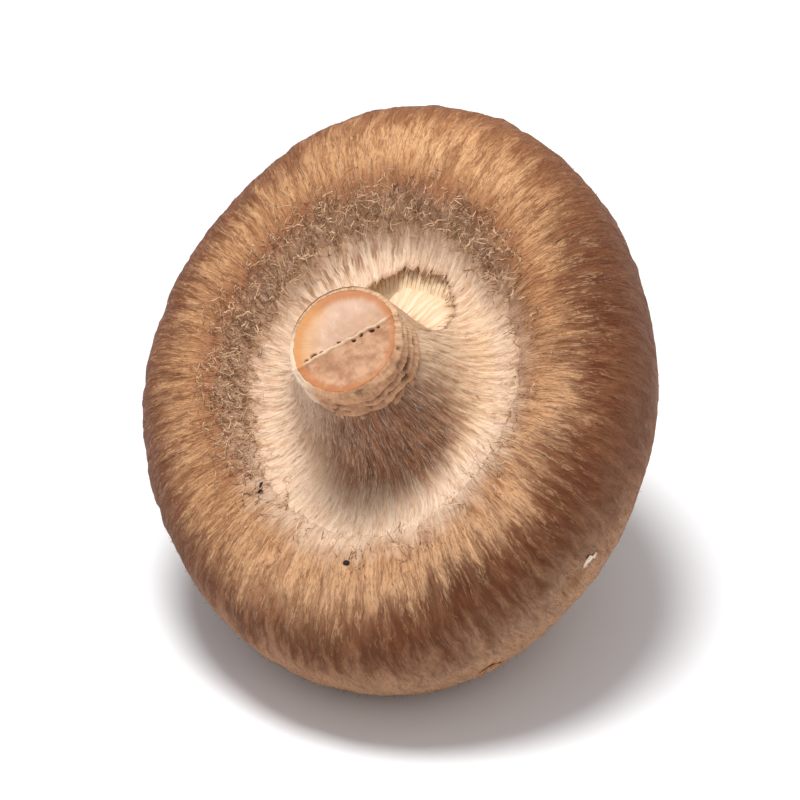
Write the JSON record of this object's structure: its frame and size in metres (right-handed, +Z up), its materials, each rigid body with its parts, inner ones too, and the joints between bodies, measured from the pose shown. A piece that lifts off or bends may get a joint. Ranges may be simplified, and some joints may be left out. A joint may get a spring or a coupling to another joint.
{
  "type": "shiitake mushroom",
  "caption": "Fresh shiitake lying on its cap, stem up: cracked brown crown, thick rolled margin, gills under a torn pale veil, short cut stem",
  "frame": {"origin": "on the resting surface, under the middle of the mushroom's box", "axes": "+Z up from the surface; the cut end of the stem looks forwards, up and to the left, about 40 degrees from +Z, so the front is -Y"},
  "size_m": [0.0554, 0.0586, 0.0505],
  "materials": {
    "cap": "matt brown skin with fine radial fibres, paler where it is cracked",
    "gills": "soft matt tan blades",
    "veil": "cream silky fibres",
    "stem": "fibrous beige flank, smooth cut end"
  },
  "bodies": {
    "root": {"cap": "cap", "gills": "gills", "veil": "veil", "stem": "stem"}
  },
  "joints": []
}
